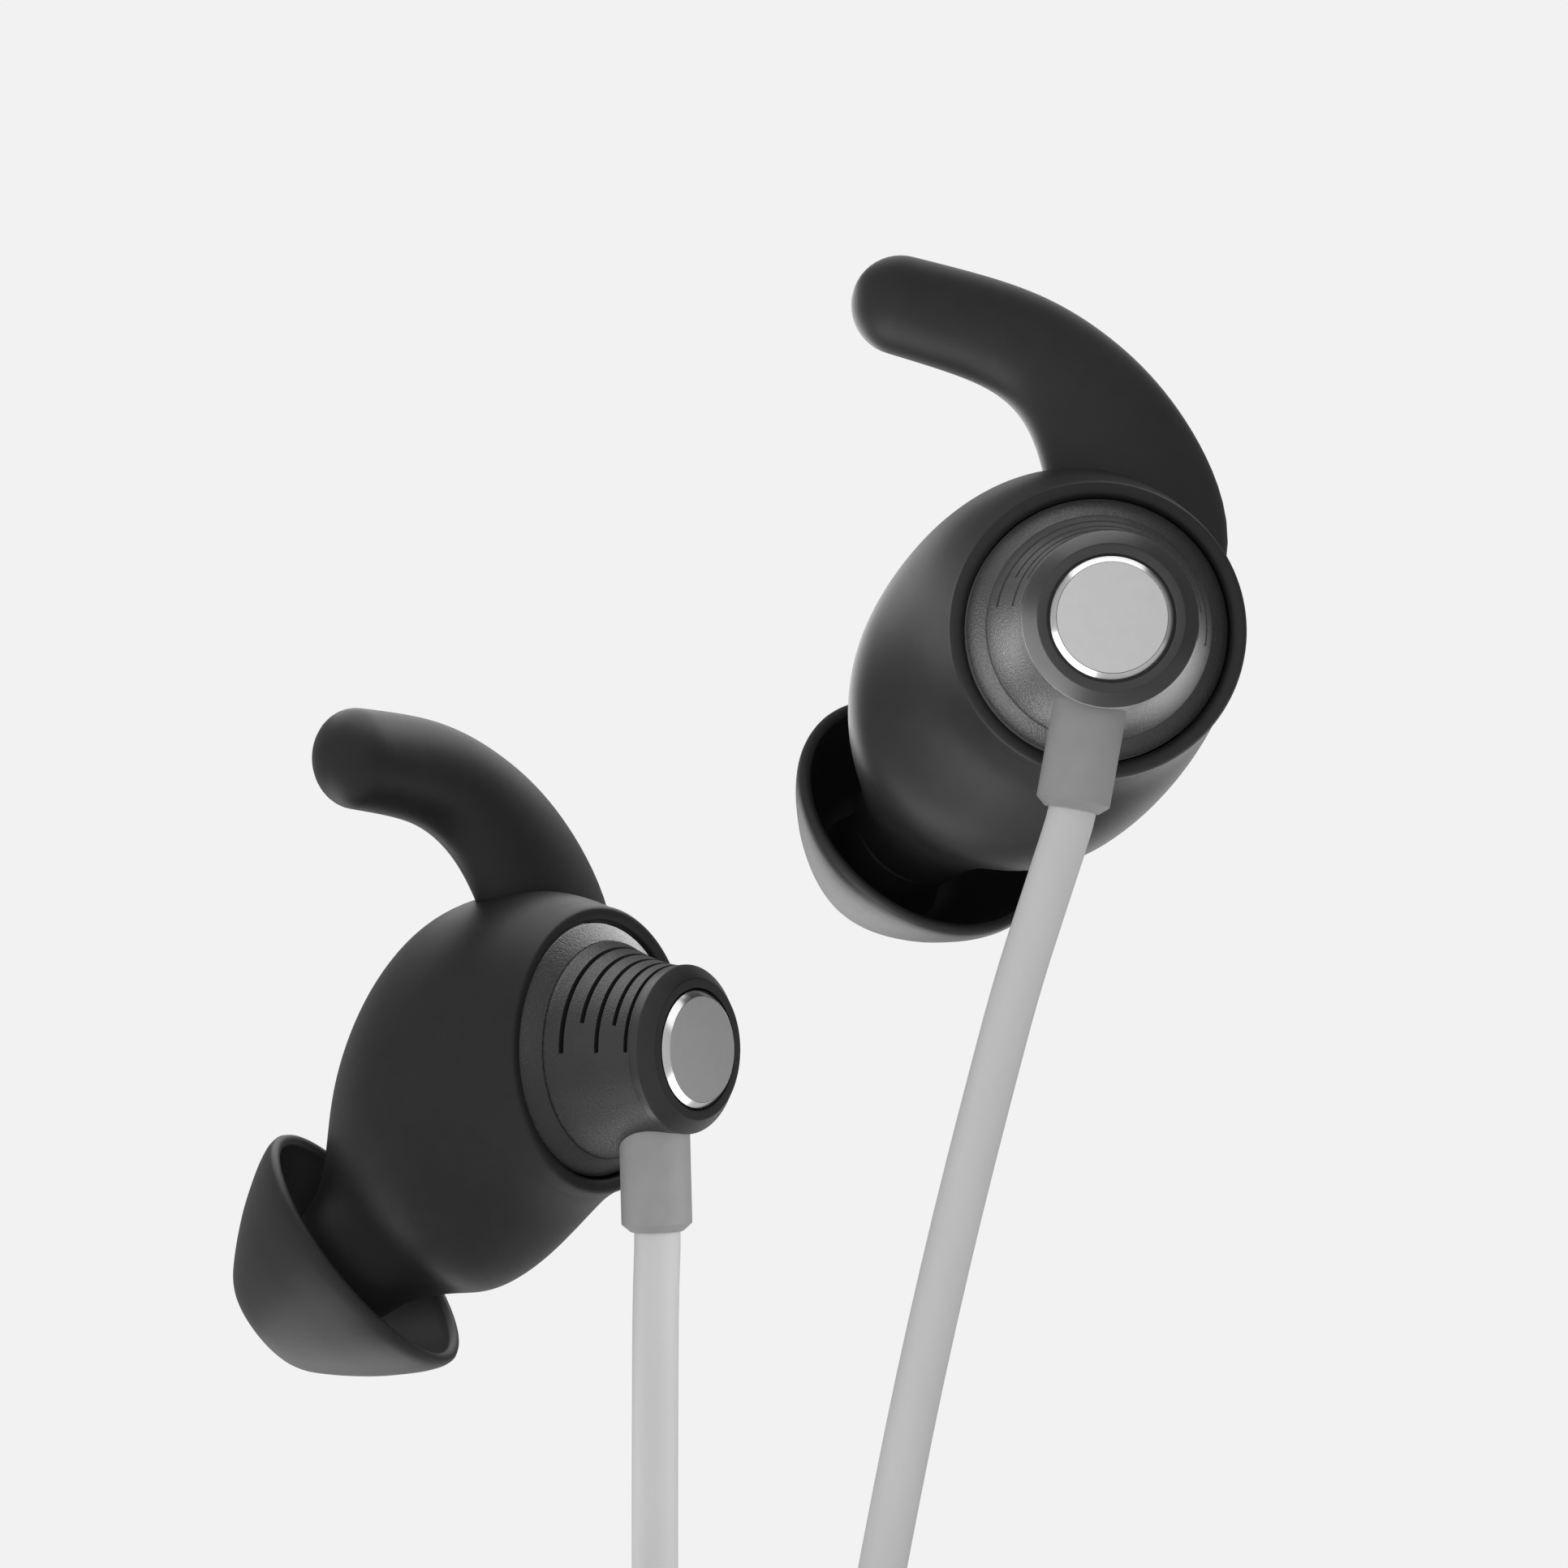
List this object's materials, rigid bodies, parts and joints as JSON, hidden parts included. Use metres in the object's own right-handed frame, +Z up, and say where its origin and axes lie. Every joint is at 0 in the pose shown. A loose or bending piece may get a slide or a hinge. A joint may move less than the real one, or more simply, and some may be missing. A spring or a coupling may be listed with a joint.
{
  "type": "in-ear monitors",
  "caption": "Wired in-ear monitors: trumpet-shaped housings in dark silicone sleeves with curled ear wings, umbrella ear tips, grey cords, a splitter and a jack plug.",
  "frame": {"origin": "midway between the two earpieces, where the wearer's ears hold them", "axes": "+Z up, against the hang of the cords; +X from the left earpiece to the right one; +Y from the metal discs towards the wearer's ears"},
  "size_m": [0.0577, 0.0302, 0.1797],
  "materials": {
    "silicone": "soft matte silicone with a faint sheen",
    "housing_plastic": "fine-grained matte moulding",
    "satin_metal": "satin face with a polished edge",
    "steel": "plain",
    "copper": "enamelled copper wire",
    "film": "thin pressed film",
    "circuit_board": "solder mask",
    "relief_rubber": "mid-grey moulded rubber",
    "cord": "light grey matte jacket",
    "tie_fabric": "black woven hook-and-loop"
  },
  "bodies": {
    "root": {"left_silicone_sleeve": "silicone", "left_front_housing": "housing_plastic", "left_nozzle_mesh": "steel", "left_driver_frame": "housing_plastic", "left_driver_yoke": "steel", "left_driver_magnet": "steel", "left_driver_plate": "steel", "left_terminal_board": "circuit_board", "left_rear_housing": "housing_plastic", "left_flange_ring": "housing_plastic", "left_end_cap_ring": "housing_plastic", "left_cap_disc": "satin_metal", "left_cap_magnet": "steel", "left_strain_relief": "relief_rubber", "left_cord_ferrule": "steel", "right_silicone_sleeve": "silicone", "right_front_housing": "housing_plastic", "right_nozzle_mesh": "steel", "right_driver_frame": "housing_plastic", "right_driver_yoke": "steel", "right_driver_magnet": "steel", "right_driver_plate": "steel", "right_terminal_board": "circuit_board", "right_rear_housing": "housing_plastic", "right_flange_ring": "housing_plastic", "right_end_cap_ring": "housing_plastic", "right_cap_disc": "satin_metal", "right_cap_magnet": "steel", "right_strain_relief": "relief_rubber", "right_cord_ferrule": "steel", "left_cord_upper": "cord", "left_coil": "cord", "left_coil_tie": "tie_fabric", "left_cord_lower": "cord", "right_cord_upper": "cord", "right_coil": "cord", "right_coil_tie": "tie_fabric", "right_cord_lower": "cord", "splitter_body": "housing_plastic", "splitter_relief": "relief_rubber", "main_cord_upper": "cord", "main_coil": "cord", "main_coil_tie": "tie_fabric", "main_cord_lower": "cord", "plug_relief": "relief_rubber", "plug_shell": "housing_plastic", "plug_sleeve_contact": "satin_metal", "plug_first_insulator": "film", "plug_ring_contact": "satin_metal", "plug_second_insulator": "film", "plug_tip_contact": "satin_metal"},
    "left_tip": {"left_ear_tip": "silicone"},
    "left_wing": {"left_ear_wing": "silicone"},
    "left_motor": {"left_diaphragm": "film", "left_voice_coil": "copper"},
    "right_tip": {"right_ear_tip": "silicone"},
    "right_wing": {"right_ear_wing": "silicone"},
    "right_motor": {"right_diaphragm": "film", "right_voice_coil": "copper"}
  },
  "joints": [
    {"name": "left_tip_pull_off", "type": "slide", "parent": "root", "child": "left_tip", "axis": [-0.7723, 0.1484, -0.6177], "range_m": [0, 0.006]},
    {"name": "left_wing_flex", "type": "hinge", "parent": "root", "child": "left_wing", "pos_m": [-0.01548, 0.00479, -0.00166], "axis": [0.8114, -0.5831, 0.0401], "range_deg": [-12, 18], "stiffness_Nm_per_rad": 0.004},
    {"name": "left_cone_stroke", "type": "slide", "parent": "root", "child": "left_motor", "axis": [0.8114, -0.5831, 0.0401], "range_m": [-0.0001, 0.0001], "stiffness_N_per_m": 20},
    {"name": "right_tip_pull_off", "type": "slide", "parent": "root", "child": "right_tip", "axis": [-0.4521, 0.6925, -0.5622], "range_m": [0, 0.006]},
    {"name": "right_wing_flex", "type": "hinge", "parent": "root", "child": "right_wing", "pos_m": [0.01151, 0.00067, 0.01721], "axis": [0.0366, -0.9979, 0.0541], "range_deg": [-12, 18], "stiffness_Nm_per_rad": 0.004},
    {"name": "right_cone_stroke", "type": "slide", "parent": "root", "child": "right_motor", "axis": [0.0366, -0.9979, 0.0541], "range_m": [-0.0001, 0.0001], "stiffness_N_per_m": 20}
  ]
}
